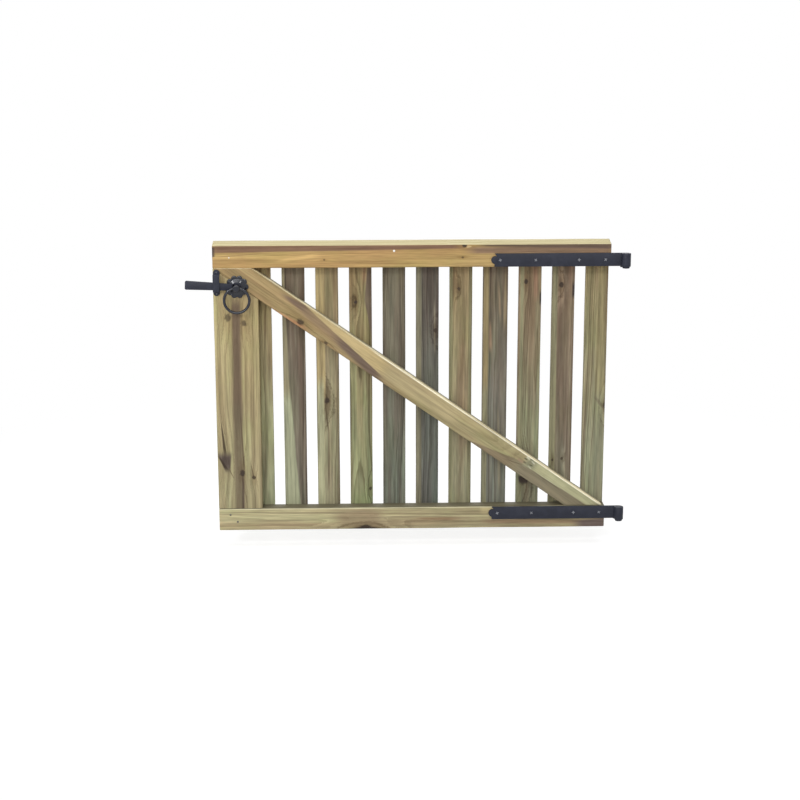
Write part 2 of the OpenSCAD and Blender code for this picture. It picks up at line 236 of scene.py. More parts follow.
def pine(name, seed, low, high, turn, head, foot, pith, knots=(), stripes=(), top_weather_and_shading=None, rear=1.0,
         rings=0.0045, figure=1.0):
    """Impregnated softwood: growth rings round a pith, streaks, knots and stripes of other wood.

    The board's own axes are across its face, through it and along its grain, and its tone goes from
    head to foot along the grain. Knots and stripes are placed by x and by height above the leaf's
    foot. A knot also has a radius and a depth of tone. A stripe has two such places, its half width
    at each, its softness, colour and strength. A side facing up can have a tone of its own, which
    paints the light and shade it gets together with its weathering and dirt, and painted shade can
    darken its rear half. A calm board has little figure.
    """
    material = bpy.data.materials.new(name)
    material.use_nodes = True
    nodes = material.node_tree.nodes
    shader = nodes["Principled BSDF"]
    join = nodes.id_data.links.new
    spin = Matrix.Rotation(turn, 3, "Y")
    centre = (Vector(low) + Vector(high)) / 2
    middle = spin @ centre
    grain_way = spin.transposed() @ Vector((0, 0, 1))
    half_long = sum(abs(part) * (b - a) for part, a, b in zip(grain_way, low, high)) / 2

    def on_board(x, height):
        own_place = spin @ Vector((x, centre.y, height + leaf_foot)) - middle
        return own_place.x, own_place.z

    coords = put(nodes, "ShaderNodeTexCoord")
    own = put(nodes, "ShaderNodeMapping", {"Vector": coords.outputs["Object"], "Location": -middle,
                                           "Rotation": (0, turn, 0)}).outputs[0]
    across, through, along = put(nodes, "ShaderNodeSeparateXYZ", {0: own}).outputs

    def drift(scale, stretch, detail, step):
        """Noise drawn out along the grain."""
        drawn = put(nodes, "ShaderNodeMapping", {"Vector": own, "Scale": (1, 1, stretch)}).outputs[0]
        values = {"Vector": drawn, "W": seed + step, "Scale": scale, "Detail": detail, "Roughness": 0.6}
        return put(nodes, "ShaderNodeTexNoise", values, noise_dimensions="4D").outputs[0]

    slow = drift(9, 0.14, 1, 0.0)
    waver = drift(55, 0.1, 2, 3.7)
    ragged = drift(150, 0.7, 3, 5.3)
    streak = drift(120, 0.045, 4, 7.1)
    fibre = drift(800, 0.03, 1, 9.3)
    broad = drift(36, 0.07, 2, 11.9)
    blotch = drift(15, 0.4, 3, 12.9)

    def reach(wide, long, pull):
        """Distance from a place, with lengths along the grain drawn in."""
        drawn_in = maths(nodes, "MULTIPLY", long, pull)
        drawn = put(nodes, "ShaderNodeCombineXYZ", {0: wide, 2: drawn_in}).outputs[0]
        return put(nodes, "ShaderNodeVectorMath", {0: drawn}, operation="LENGTH").outputs["Value"]

    # distance from the pith, bent by the wandering trunk and by each knot
    lean = maths(nodes, "MULTIPLY_ADD", along, -pith[2], -pith[0])
    radius = reach(maths(nodes, "ADD", across, lean), maths(nodes, "SUBTRACT", through, pith[1]), 1.0)
    radius = maths(nodes, "MULTIPLY_ADD", slow, 0.03, radius)
    radius = maths(nodes, "MULTIPLY_ADD", waver, 0.005, radius)
    uneven = maths(nodes, "SUBTRACT", ragged, 0.5)
    knot_marks = []
    for x, height, size, depth in knots:
        knot_across, knot_along = on_board(x, height)
        wide = maths(nodes, "SUBTRACT", across, knot_across)
        long = maths(nodes, "SUBTRACT", along, knot_along)
        rough = min(size * 1.7, 0.013)
        near = maths(nodes, "MULTIPLY_ADD", uneven, rough, reach(wide, long, 0.8))
        far = maths(nodes, "MULTIPLY_ADD", uneven, rough, reach(wide, long, 0.28))
        radius = maths(nodes, "ADD", radius, fade(nodes, far, size * 4.2, 0.0, 0.0, size * 1.6))
        core = fade(nodes, near, size * 1.3, size * 0.55)
        pale = fade(nodes, maths(nodes, "FRACT", maths(nodes, "DIVIDE", near, size * 0.34)), 0.2, 0.9)
        halo = fade(nodes, far, size * 2.4, size * 0.4)
        knot_marks.append((core, pale, halo, depth))

    count = maths(nodes, "DIVIDE", radius, rings)
    year = maths(nodes, "FRACT", count)
    vigour = put(nodes, "ShaderNodeTexWhiteNoise", {"W": maths(nodes, "FLOOR", count)},
                 noise_dimensions="1D").outputs[0]
    late_wood = maths(nodes, "MULTIPLY", fade(nodes, year, 0.3, 0.86), fade(nodes, year, 1.0, 0.9))
    late_wood = maths(nodes, "MULTIPLY", late_wood, fade(nodes, vigour, 0.0, 1.0, 0.2, 1.0))
    own_radius = maths(nodes, "ADD", radius, seed)
    decade = put(nodes, "ShaderNodeTexNoise", {"W": own_radius, "Scale": 95.0, "Detail": 2.0},
                 noise_dimensions="1D").outputs[0]

    tone_along = maths(nodes, "MULTIPLY_ADD", blotch, 0.3, along)
    towards_foot = fade(nodes, tone_along, half_long + 0.15, 0.15 - half_long)
    colour = tint(nodes, towards_foot, paint(*head), paint(*foot))

    def shade(under, mark, start, end, light, dark, amount=1.0):
        """Goes from a light to a dark shade of a colour while the mark goes from start to end."""
        level = tint(nodes, fade(nodes, mark, start, end), light, dark)
        return tint(nodes, amount, under, level, "MULTIPLY")

    # darker late wood, redder and greener streaks, and the uneven green of the impregnation
    late = maths(nodes, "MULTIPLY", late_wood, 0.6)
    colour = shade(colour, late, 0.0, 1.0, (1.04, 1.04, 1.05, 1), (0.5, 0.45, 0.42, 1), figure)
    colour = shade(colour, decade, 0.3, 0.7, (1.2, 1.22, 1.24, 1), (0.8, 0.78, 0.78, 1), figure)
    colour = shade(colour, broad, 0.32, 0.68, (1.08, 1.17, 1.16, 1), (0.93, 0.85, 0.86, 1), figure)
    colour = shade(colour, blotch, 0.42, 0.72, (1.0, 1.0, 1.02, 1), (0.92, 1.0, 0.93, 1))
    for (x0, h0), (x1, h1), half0, half1, soft, tone, strength in stripes:
        across0, along0 = on_board(x0, h0)
        across1, along1 = on_board(x1, h1)
        step = put(nodes, "ShaderNodeMapRange",
                   {"Value": along, "From Min": along0, "From Max": along1}).outputs[0]
        line = maths(nodes, "MULTIPLY_ADD", step, across1 - across0, across0)
        half = maths(nodes, "MULTIPLY_ADD", step, half1 - half0, half0)
        beyond = maths(nodes, "ABSOLUTE", maths(nodes, "SUBTRACT", across, line))
        beyond = maths(nodes, "MULTIPLY_ADD", maths(nodes, "SUBTRACT", waver, 0.5), soft * 1.6, beyond)
        beyond = maths(nodes, "MULTIPLY_ADD", maths(nodes, "SUBTRACT", streak, 0.5), soft, beyond)
        shown = fade(nodes, maths(nodes, "SUBTRACT", beyond, half), soft, -soft)
        far_end = abs(along1 - along0) / 2
        ending = min(0.03, far_end * 0.5)
        from_middle = maths(nodes, "ABSOLUTE", maths(nodes, "SUBTRACT", along, (along0 + along1) / 2))
        shown = maths(nodes, "MULTIPLY", shown, fade(nodes, from_middle, far_end + ending, far_end - ending))
        colour = tint(nodes, maths(nodes, "MULTIPLY", shown, strength), colour, paint(*tone))

    colour = shade(colour, late, 0.0, 1.0, (1.02, 1.02, 1.02, 1), (0.82, 0.8, 0.78, 1), figure)
    colour = shade(colour, streak, 0.3, 0.7, (1.28, 1.28, 1.28, 1), (0.72, 0.72, 0.74, 1), figure)
    colour = shade(colour, fibre, 0.3, 0.75, (1.08, 1.08, 1.08, 1), (0.88, 0.88, 0.88, 1))
    for core, pale, halo, depth in knot_marks:
        colour = tint(nodes, maths(nodes, "MULTIPLY", halo, 0.6 * depth), colour,
                      tint(nodes, 1.0, colour, (0.55, 0.46, 0.38, 1), "MULTIPLY"))
        knot_tone = tint(nodes, pale, paint(42, 34, 30), paint(66, 53, 43))
        colour = tint(nodes, maths(nodes, "MULTIPLY", core, 0.95 * depth), colour, knot_tone)
    # sides facing up take a tone of their own, which paints the light and shade they get together with their
    # weathering and dirt
    if top_weather_and_shading:
        up = put(nodes, "ShaderNodeSeparateXYZ", {0: coords.outputs["Normal"]}).outputs["Z"]
        top_weather_and_shading_tone = shade(paint(*top_weather_and_shading), late_wood, 0.0, 1.0, (1.03, 1.03, 1.03, 1), (0.8, 0.74, 0.62, 1))
        top_weather_and_shading_tone = shade(top_weather_and_shading_tone, streak, 0.3, 0.7, (1.06, 1.06, 1.05, 1), (0.9, 0.89, 0.86, 1))
        # painted shade darkens the rear half of the top side, where it meets the palings
        top_weather_and_shading_tone = shade(top_weather_and_shading_tone, through, -0.004, 0.004, (1, 1, 1, 1), (rear, rear, rear, 1))
        colour = tint(nodes, fade(nodes, up, 0.45, 0.75), colour, top_weather_and_shading_tone)
    facing = put(nodes, "ShaderNodeVectorMath", {0: coords.outputs["Normal"], 1: grain_way},
                 operation="DOT_PRODUCT").outputs["Value"]
    end_grain = fade(nodes, maths(nodes, "ABSOLUTE", facing), 0.75, 0.97)
    colour = tint(nodes, end_grain, colour, tint(nodes, 1.0, colour, (0.62, 0.58, 0.52, 1), "MULTIPLY"))

    join(colour, shader.inputs["Base Color"])
    join(fade(nodes, streak, 0.25, 0.75, 0.62, 0.82), shader.inputs["Roughness"])
    relief = maths(nodes, "MULTIPLY_ADD", late_wood, 0.35, maths(nodes, "MULTIPLY", fibre, 0.5))
    relief = maths(nodes, "MULTIPLY_ADD", streak, 0.6, relief)
    for core, pale, halo, depth in knot_marks:
        relief = maths(nodes, "MULTIPLY_ADD", core, -0.5 * depth, relief)
    bump = put(nodes, "ShaderNodeBump", {"Height": relief, "Strength": 0.35, "Distance": 0.0008})
    join(bump.outputs[0], shader.inputs["Normal"])
    shader.inputs["Specular IOR Level"].default_value = 0.25
    return material


leaf_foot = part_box("bottom_rail")[0][2]
along_leaf = math.radians(90)
arris, stray = 0.0025, 0.0005
rail_cuts = 40
# without a seed, Blender takes one from the clock and the faces stray differently in every run
timber_seed = 1
noise.seed_set(timber_seed)
low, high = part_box("top_rail")
top_fall = 0.010
section = [(low[0], low[1], low[2]), (low[0], high[1], low[2]), (low[0], high[1], high[2]),
           (low[0], low[1], high[2] - top_fall)]
bm = sawn(section, (high[0] - low[0], 0, 0), (1, 0, 0), rail_cuts, arris, stray, seed=1.0)
wood = pine("top_rail_pine", 1.0, low, high, along_leaf,
            head=(179, 147, 94), foot=(171, 142, 93), pith=(0.10, 0.03, 0.0),
            knots=[(-0.486, 0.887, 0.006, 1.0), (-0.908, 0.846, 0.003, 0.7), (-0.492, 0.851, 0.003, 0.7)],
            stripes=[((-1.231, 0.856), (-1.079, 0.867), 0.0006, 0.001, 0.001, (124, 96, 68), 0.7),
                     ((-1.05, 0.843), (-0.93, 0.860), 0.004, 0.006, 0.004, (208, 174, 114), 0.7),
                     ((-1.25, 0.879), (-0.50, 0.884), 0.011, 0.006, 0.003, (114, 86, 69), 0.95),
                     ((-0.47, 0.873), (-0.03, 0.871), 0.009, 0.014, 0.005, (124, 100, 81), 0.9),
                     ((-0.44, 0.887), (-0.03, 0.884), 0.003, 0.009, 0.004, (86, 70, 62), 0.9),
                     # pale spot where the arris is chipped at the knot, painted lit like the rail's top
                     ((-0.480, 0.884), (-0.466, 0.884), 0.004, 0.002, 0.001, (214, 190, 140), 0.9),
                     ((-1.256, 0.871), (-1.236, 0.871), 0.016, 0.014, 0.002, (62, 50, 50), 0.9)],
            # pale top side: weathered wood and painted light
            top_weather_and_shading=(198, 188, 149), rings=0.005, figure=0.6)
finished("top_rail_timber", bm, wood, "leaf", "frame_timber", "top_rail")


# Bottom rail: the same bar at the foot of the leaf, square in section. Two nails from its face hold
# the foot of the lock board. Its top side is dark with dirt and painted shade under the palings, a
# painted highlight runs along its front arris, and a dark knot runs out at its lower arris.
low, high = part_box("bottom_rail")
section = [(low[0], low[1], low[2]), (low[0], high[1], low[2]), (low[0], high[1], high[2]),
           (low[0], low[1], high[2])]
bm = sawn(section, (high[0] - low[0], 0, 0), (1, 0, 0), rail_cuts, arris, stray, seed=2.0)
wood = pine("bottom_rail_pine", 2.0, low, high, along_leaf,
            head=(175, 164, 125), foot=(147, 133, 101), pith=(-0.02, 0.01, 0.02),
            knots=[(-0.789, 0.002, 0.012, 1.0)],
            stripes=[((-0.88, 0.034), (-0.74, 0.034), 0.022, 0.030, 0.014, (136, 117, 92), 0.75),
                     ((-0.824, 0.002), (-0.750, 0.002), 0.005, 0.005, 0.002, (66, 57, 50), 0.9),
                     ((-0.806, 0.004), (-0.772, 0.004), 0.008, 0.008, 0.003, (58, 50, 46), 0.9),
                     ((-0.63, 0.032), (-0.51, 0.030), 0.003, 0.006, 0.004, (132, 106, 80), 0.75),
                     ((-0.43, 0.054), (-0.39, 0.056), 0.010, 0.010, 0.006, (190, 175, 130), 0.6),
                     ((-0.42, 0.021), (-0.11, 0.017), 0.007, 0.006, 0.004, (138, 113, 89), 0.65),
                     ((-0.13, 0.011), (-0.03, 0.010), 0.010, 0.018, 0.005, (98, 84, 81), 0.9),
                     # pale line along the top of the face: a painted highlight on the arris
                     ((-1.25, 0.0678), (-0.03, 0.0678), 0.0018, 0.0018, 0.001, (196, 190, 156), 0.85)],
            # dark top side: dirt and painted shade under the palings
            top_weather_and_shading=(110, 105, 85), rings=0.006, figure=0.75)
finished("bottom_rail_timber", bm, wood, "leaf", "frame_timber", "bottom_rail")


# Lock board: a wide upright board under the latch, cut on the slant below the brace and nailed to
# the rails. Its heart shows as a dark stripe down the middle, with a large knot low on the left.
low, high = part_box("lock_board")
brace_low, brace_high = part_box("brace")
brace_width = 0.067
bay_w, bay_h = brace_high[0] - brace_low[0], brace_high[2] - brace_low[2]
brace_turn = math.atan2(bay_h, bay_w) + math.asin(brace_width / math.hypot(bay_w, bay_h))
slant = (high[0] - low[0]) * math.tan(brace_turn)
outline = [(low[0], low[1], low[2]), (high[0], low[1], low[2]), (high[0], low[1], high[2] - slant),
           (low[0], low[1], high[2])]
board_cuts = 24
bm = sawn(outline, (0, high[1] - low[1], 0), (0, 0, 1), board_cuts, arris, stray, seed=3.0)
upright = 0.0
wood = pine("lock_board_pine", 3.0, low, high, upright,
            head=(170, 153, 110), foot=(157, 148, 112), pith=(-0.006, -0.012, 0.0),
            knots=[(-1.201, 0.672, 0.010, 0.75), (-1.152, 0.655, 0.008, 0.75), (-1.220, 0.222, 0.013, 0.4),
                   (-1.168, 0.184, 0.008, 0.95), (-1.133, 0.170, 0.005, 0.9)],
            stripes=[((-1.176, 0.73), (-1.177, 0.34), 0.013, 0.014, 0.006, (103, 86, 69), 0.95),
                     ((-1.177, 0.40), (-1.179, 0.0), 0.014, 0.012, 0.007, (110, 98, 77), 0.92),
                     ((-1.170, 0.38), (-1.162, 0.19), 0.0015, 0.003, 0.0015, (88, 72, 56), 0.8),
                     ((-1.230, 0.352), (-1.219, 0.240), 0.0008, 0.005, 0.001, (76, 64, 48), 0.95),
                     ((-1.221, 0.246), (-1.214, 0.192), 0.021, 0.008, 0.003, (90, 78, 72), 0.95),
                     ((-1.240, 0.239), (-1.216, 0.196), 0.003, 0.005, 0.0015, (60, 49, 38), 0.9),
                     ((-1.208, 0.197), (-1.196, 0.170), 0.002, 0.001, 0.001, (110, 95, 72), 0.8),
                     ((-1.166, 0.180), (-1.168, 0.03), 0.003, 0.003, 0.0015, (82, 69, 58), 0.9),
                     ((-1.142, 0.215), (-1.133, 0.170), 0.0005, 0.002, 0.001, (92, 78, 60), 0.9)],
            figure=0.65)
finished("lock_board_timber", bm, wood, "leaf", "frame_timber", "lock_board")


# Brace: a bar on the slant from the foot of the hinge end to the head of the latch end, cut to the
# rails at both ends. Pale sapwood runs along its top arris, which carries a painted highlight; its
# top side is painted light, with painted shade on its rear half, and a cluster of knots sits low down.
low, high = brace_low, brace_high
foot_cut = brace_width / math.sin(brace_turn)
outline = [(low[0], low[1], high[2]), (high[0] - foot_cut, low[1], low[2]), (high[0], low[1], low[2]),
           (low[0] + foot_cut, low[1], high[2])]
brace_way = (math.cos(brace_turn), 0, -math.sin(brace_turn))
brace_cuts = 48
bm = sawn(outline, (0, high[1] - low[1], 0), brace_way, brace_cuts, arris, stray, seed=4.0)
wood = pine("brace_pine", 4.0, low, high, along_leaf - brace_turn,
            head=(152, 129, 89), foot=(158, 146, 110), pith=(0.02, 0.01, 0.01),
            knots=[(-0.982, 0.658, 0.009, 0.85), (-0.905, 0.592, 0.005, 0.8), (-0.276, 0.205, 0.010, 0.3)],
            stripes=[((-1.06, 0.692), (-0.97, 0.640), 0.004, 0.005, 0.003, (180, 130, 94), 0.6),
                     ((-1.03, 0.740), (-0.955, 0.690), 0.004, 0.012, 0.005, (110, 90, 78), 0.85),
                     ((-0.976, 0.6975), (-0.855, 0.590), 0.012, 0.012, 0.010, (132, 111, 87), 0.85),
                     ((-0.87, 0.602), (-0.742, 0.480), 0.012, 0.016, 0.008, (104, 87, 75), 0.95),
                     ((-0.9657, 0.7123), (-0.7203, 0.5106), 0.004, 0.0275, 0.0015, (184, 164, 119), 0.92),
                     ((-0.7203, 0.5106), (-0.50, 0.356), 0.028, 0.030, 0.004, (174, 159, 121), 0.7),
                     ((-0.4676, 0.281), (-0.3251, 0.2026), 0.002, 0.0185, 0.002, (124, 110, 87), 0.92),
                     ((-0.3285, 0.203), (-0.106, 0.0526), 0.019, 0.021, 0.002, (128, 119, 97), 0.92),
                     ((-0.279, 0.210), (-0.068, 0.0648), 0.016, 0.0125, 0.002, (172, 170, 134), 0.9),
                     ((-0.2928, 0.213), (-0.2595, 0.1966), 0.0156, 0.014, 0.003, (142, 142, 114), 0.85),
                     ((-0.288, 0.228), (-0.279, 0.219), 0.0025, 0.002, 0.001, (206, 206, 182), 0.8),
                     ((-0.273, 0.214), (-0.264, 0.204), 0.002, 0.0025, 0.001, (206, 206, 182), 0.8),
                     ((-0.284, 0.200), (-0.275, 0.190), 0.002, 0.002, 0.001, (198, 198, 172), 0.7),
                     ((-0.356, 0.2218), (-0.306, 0.2040), 0.0008, 0.0014, 0.0008, (98, 86, 68), 0.8),
                     ((-0.3155, 0.2213), (-0.2993, 0.2105), 0.004, 0.005, 0.003, (146, 120, 102), 0.6),
                     ((-0.2953, 0.2240), (-0.2865, 0.2182), 0.002, 0.002, 0.001, (84, 82, 64), 0.9),
                     ((-0.2985, 0.2130), (-0.2905, 0.2076), 0.003, 0.002, 0.0015, (96, 88, 72), 0.8),
                     ((-0.2755, 0.2210), (-0.2679, 0.2160), 0.0018, 0.0018, 0.001, (84, 86, 66), 0.9),
                     ((-0.2650, 0.2178), (-0.2572, 0.2128), 0.0015, 0.0015, 0.001, (78, 80, 62), 0.9),
                     ((-0.2790, 0.2030), (-0.2708, 0.1978), 0.0016, 0.0016, 0.001, (88, 90, 70), 0.85),
                     ((-0.2557, 0.1715), (-0.1919, 0.1277), 0.001, 0.001, 0.001, (90, 86, 68), 0.75),
                     ((-0.2540, 0.1745), (-0.1902, 0.1307), 0.0009, 0.0009, 0.0008, (208, 204, 166), 0.8),
                     # thin pale line along the top arris: a painted highlight
                     ((-0.75, 0.557), (-0.055, 0.0708), 0.0022, 0.0024, 0.001, (240, 232, 205), 0.9)],
            # pale top side: painted light, with painted shade on its rear half
            top_weather_and_shading=(250, 240, 205), rear=0.36, rings=0.006, figure=0.6)
finished("brace_timber", bm, wood, "leaf", "frame_timber", "brace")


# Palings: twelve planed boards with rounded arrises, nailed upright to the back of the rails. Each
# is from another log, so some are dark heartwood and some green or tan sapwood, with knots.
class Paling:
    """What sets one paling apart: its tones, its pith, its knots and its stripes."""
    def __init__(self, head, foot, pith, knots=(), stripes=()):
        self.head = head
        self.foot = foot
        self.pith = pith
        self.knots = knots
        self.stripes = stripes


palings = [
    Paling((140, 126, 92), (136, 134, 102), (0.02, 0.03, 0.01)),
    Paling((155, 136, 98), (155, 156, 121), (0.03, 0.03, 0.02)),
    Paling((101, 87, 71), (105, 95, 80), (0.0, 0.025, 0.02),
           stripes=[((-1.036, 0.82), (-1.030, 0.40), 0.004, 0.012, 0.003, (140, 132, 104), 0.9),
                    ((-1.029, 0.42), (-1.012, 0.0), 0.012, 0.026, 0.003, (155, 157, 128), 0.92)]),
    Paling((128, 110, 81), (134, 128, 100), (0.01, 0.03, 0.01), knots=[(-0.905, 0.402, 0.008, 1.0)],
           stripes=[((-0.923, 0.92), (-0.922, 0.42), 0.014, 0.013, 0.002, (164, 147, 106), 0.92),
                    ((-0.924, 0.46), (-0.925, 0.0), 0.010, 0.011, 0.003, (166, 164, 131), 0.9),
                    ((-0.911, 0.39), (-0.901, 0.30), 0.002, 0.002, 0.0015, (92, 80, 60), 0.9),
                    ((-0.901, 0.31), (-0.902, 0.13), 0.002, 0.003, 0.002, (106, 94, 74), 0.85)]),
    Paling((128, 111, 78), (130, 131, 96), (0.0, 0.03, 0.0),
           knots=[(-0.814, 0.709, 0.005, 1.0), (-0.772, 0.118, 0.005, 0.9)],
           stripes=[((-0.771, 0.83), (-0.776, 0.712), 0.006, 0.012, 0.0025, (97, 83, 71), 0.9),
                    ((-0.776, 0.72), (-0.767, 0.61), 0.012, 0.002, 0.0025, (97, 83, 71), 0.9),
                    ((-0.786, 0.83), (-0.788, 0.77), 0.006, 0.004, 0.004, (146, 112, 84), 0.7)]),
    Paling((107, 97, 78), (108, 109, 94), (-0.01, 0.03, 0.02)),
    Paling((88, 81, 70), (90, 91, 82), (0.02, 0.03, 0.0), knots=[(-0.571, 0.620, 0.006, 0.9)],
           stripes=[((-0.622, 0.92), (-0.622, 0.0), 0.008, 0.009, 0.002, (118, 113, 92), 0.92),
                    ((-0.574, 0.70), (-0.572, 0.55), 0.003, 0.002, 0.002, (132, 124, 104), 0.7)]),
    Paling((132, 111, 80), (139, 132, 104), (0.0, 0.03, 0.02), knots=[(-0.499, 0.748, 0.005, 0.8)],
           stripes=[((-0.524, 0.92), (-0.524, 0.0), 0.006, 0.007, 0.004, (126, 124, 92), 0.7),
                    ((-0.463, 0.92), (-0.463, 0.0), 0.005, 0.006, 0.004, (124, 122, 92), 0.7)]),
    Paling((102, 89, 72), (121, 123, 109), (0.02, 0.03, -0.01),
           stripes=[((-0.415, 0.92), (-0.416, 0.40), 0.008, 0.008, 0.002, (138, 123, 88), 0.92),
                    ((-0.416, 0.44), (-0.418, 0.0), 0.008, 0.007, 0.002, (134, 130, 102), 0.92),
                    ((-0.378, 0.76), (-0.372, 0.66), 0.003, 0.003, 0.002, (138, 120, 96), 0.8),
                    ((-0.357, 0.80), (-0.358, 0.64), 0.003, 0.004, 0.002, (136, 121, 94), 0.8),
                    ((-0.403, 0.64), (-0.401, 0.56), 0.003, 0.005, 0.003, (148, 122, 97), 0.75),
                    ((-0.376, 0.37), (-0.368, 0.11), 0.003, 0.004, 0.002, (136, 128, 106), 0.75)]),
    Paling((128, 112, 84), (128, 126, 101), (0.02, 0.025, 0.03),
           knots=[(-0.295, 0.770, 0.006, 1.0), (-0.294, 0.140, 0.013, 0.7)],
           stripes=[((-0.268, 0.82), (-0.262, 0.72), 0.006, 0.008, 0.004, (146, 112, 90), 0.65),
                    ((-0.306, 0.92), (-0.306, 0.0), 0.005, 0.006, 0.003, (134, 132, 102), 0.8),
                    ((-0.249, 0.738), (-0.248, 0.698), 0.004, 0.005, 0.002, (52, 44, 40), 0.95),
                    ((-0.295, 0.154), (-0.293, 0.131), 0.016, 0.013, 0.003, (56, 49, 45), 0.9)]),
    Paling((120, 100, 80), (124, 117, 97), (0.0, 0.025, 0.02),
           knots=[(-0.186, 0.759, 0.007, 0.95), (-0.203, 0.205, 0.004, 0.9), (-0.174, 0.209, 0.004, 0.8)],
           stripes=[((-0.206, 0.92), (-0.206, 0.0), 0.008, 0.010, 0.003, (130, 126, 97), 0.9),
                    ((-0.149, 0.764), (-0.148, 0.720), 0.004, 0.005, 0.002, (56, 48, 48), 0.95)]),
    Paling((138, 123, 90), (136, 134, 108), (0.02, 0.03, 0.02), knots=[(-0.044, 0.380, 0.007, 0.8)],
           stripes=[((-0.060, 0.92), (-0.062, 0.42), 0.012, 0.014, 0.006, (150, 140, 101), 0.6),
                    ((-0.073, 0.405), (-0.046, 0.370), 0.005, 0.006, 0.004, (112, 104, 84), 0.8)]),
]
for number, paling in enumerate(palings, 1):
    node = f"paling_{number:02d}"
    low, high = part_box(node)
    section = [(low[0], low[1], low[2]), (high[0], low[1], low[2]), (high[0], high[1], low[2]),
               (low[0], high[1], low[2])]
    bm = sawn(section, (0, 0, high[2] - low[2]), (0, 0, 1), board_cuts, arris, stray, seed=10.0 + number)
    wood = pine(node + "_pine", 10.0 + 3.1 * number, low, high, upright,
                paling.head, paling.foot, paling.pith, paling.knots, paling.stripes)
    finished(node + "_board", bm, wood, "leaf", "paling_timber", node)


# Nails: galvanised wire nails with flat heads. A few show in the faces of the rails, and two at each
# crossing hold the palings from behind.
def zinc(name, bright, dull):
    """Galvanised steel, mottled by the zinc's crystals."""
    material = bpy.data.materials.new(name)
    material.use_nodes = True
    nodes = material.node_tree.nodes
    shader = nodes["Principled BSDF"]
    place = put(nodes, "ShaderNodeTexCoord").outputs["Object"]
    spangle = put(nodes, "ShaderNodeTexNoise", {"Vector": place, "Scale": 420.0, "Detail": 3.0}).outputs[0]
    join = nodes.id_data.links.new
    mottled = tint(nodes, fade(nodes, spangle, 0.35, 0.65), paint(*bright), paint(*dull))
    join(mottled, shader.inputs["Base Color"])
    join(fade(nodes, spangle, 0.3, 0.7, 0.4, 0.62), shader.inputs["Roughness"])
    shader.inputs["Metallic"].default_value = 0.6
    return material


head_r, head_t, nail_in, head_steps = 0.0034, 0.0006, 0.002, 12
head_profile = [(0, head_t), (head_r * 0.75, head_t), (head_r, head_t * 0.3),
                (head_r, -nail_in), (0, -nail_in)]
face_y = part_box("bottom_rail")[0][1]
new_zinc = zinc("new_zinc", (236, 236, 232), (208, 208, 204))
bright_nails = bmesh.new()
for x, height, size in ((-0.698, 0.872, 1.0), (-1.193, 0.854, 0.6)):
    place = Matrix.Translation((x, face_y, height + leaf_foot)) @ to_front
    turned(bright_nails, head_profile, place @ Matrix.Diagonal((size, size, 1, 1)), head_steps)
finished("top_rail_nails", bright_nails, new_zinc, "leaf", "black_iron")
dull_zinc = zinc("weathered_zinc", (120, 116, 106), (84, 80, 72))
rail_nails = bmesh.new()
for x, height in ((-1.208, 0.050), (-1.186, 0.027)):
    place = Matrix.Translation((x, face_y, height + leaf_foot)) @ to_front
    turned(rail_nails, head_profile, place, head_steps)
finished("bottom_rail_nails", rail_nails, dull_zinc, "leaf", "black_iron")
nail_pair = ((-0.018, 0.006), (0.018, -0.005))
paling_nails = bmesh.new()
for number in range(1, len(palings) + 1):
    low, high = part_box(f"paling_{number:02d}")
    middle_x = (low[0] + high[0]) / 2
    for rail in ("bottom_rail", "top_rail"):
        rail_low, rail_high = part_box(rail)
        for aside, lift in nail_pair:
            height = (rail_low[2] + rail_high[2]) / 2 + lift
            place = Matrix.Translation((middle_x + aside, high[1], height)) @ to_back
            turned(paling_nails, head_profile, place, head_steps)
finished("paling_nails", paling_nails, dull_zinc, "leaf", "black_iron")


# Strap hinges: flat black bars screwed to the face of the rails, each with a round nose and an end
# rolled into an eye round the pintle's pin. Four countersunk screws with a cross slot hold each one.
def each_once(parts):
    """Drops repeats and keeps the order, which a set would not."""
    return list(dict.fromkeys(parts))


def cross_screw(bm, place, radius, slot_half, slot_reach, slot_depth):
    """A low screw head with a cross cut into it and a skirt that flares down into its hole."""
    skirt_flare, skirt_drop = 1.12, 0.0012
    before = set(bm.verts)
    bmesh.ops.create_circle(bm, cap_ends=True, segments=20, radius=radius)
    for axis in ((1, 0, 0), (0, 1, 0)):
        for cut in (-slot_reach, -slot_half, slot_half, slot_reach):
            new = [v for v in bm.verts if v not in before]
            faces = each_once(f for v in new for f in v.link_faces)
            edges = each_once(e for v in new for e in v.link_edges)
            bmesh.ops.bisect_plane(bm, geom=faces + edges + new, plane_co=Vector(axis) * cut, plane_no=axis)
    new = [v for v in bm.verts if v not in before]
    cross = []
    for f in each_once(f for v in new for f in v.link_faces):
        mid = f.calc_center_median()
        close, wide = sorted((abs(mid.x), abs(mid.y)))
        if close < slot_half and wide < slot_reach:
            cross.append(f)
    cross += each_once(e for f in cross for e in f.edges)
    sunk = bmesh.ops.extrude_face_region(bm, geom=cross)["geom"]
    for f in sunk:
        if isinstance(f, bmesh.types.BMFace):
            f.material_index = 1
    floor_verts = [g for g in sunk if isinstance(g, bmesh.types.BMVert)]
    bmesh.ops.translate(bm, verts=floor_verts, vec=(0, 0, -slot_depth))
    new = [v for v in bm.verts if v not in before]
    rim = [e for e in each_once(e for v in new for e in v.link_edges) if e.is_boundary]
    skirt = bmesh.ops.extrude_edge_only(bm, edges=rim)["geom"]
    skirt = [g for g in skirt if isinstance(g, bmesh.types.BMVert)]
    bmesh.ops.scale(bm, vec=(skirt_flare, skirt_flare, 1), verts=skirt)
    bmesh.ops.translate(bm, verts=skirt, vec=(0, 0, -skirt_drop))
    bmesh.ops.transform(bm, matrix=place, verts=[v for v in bm.verts if v not in before])


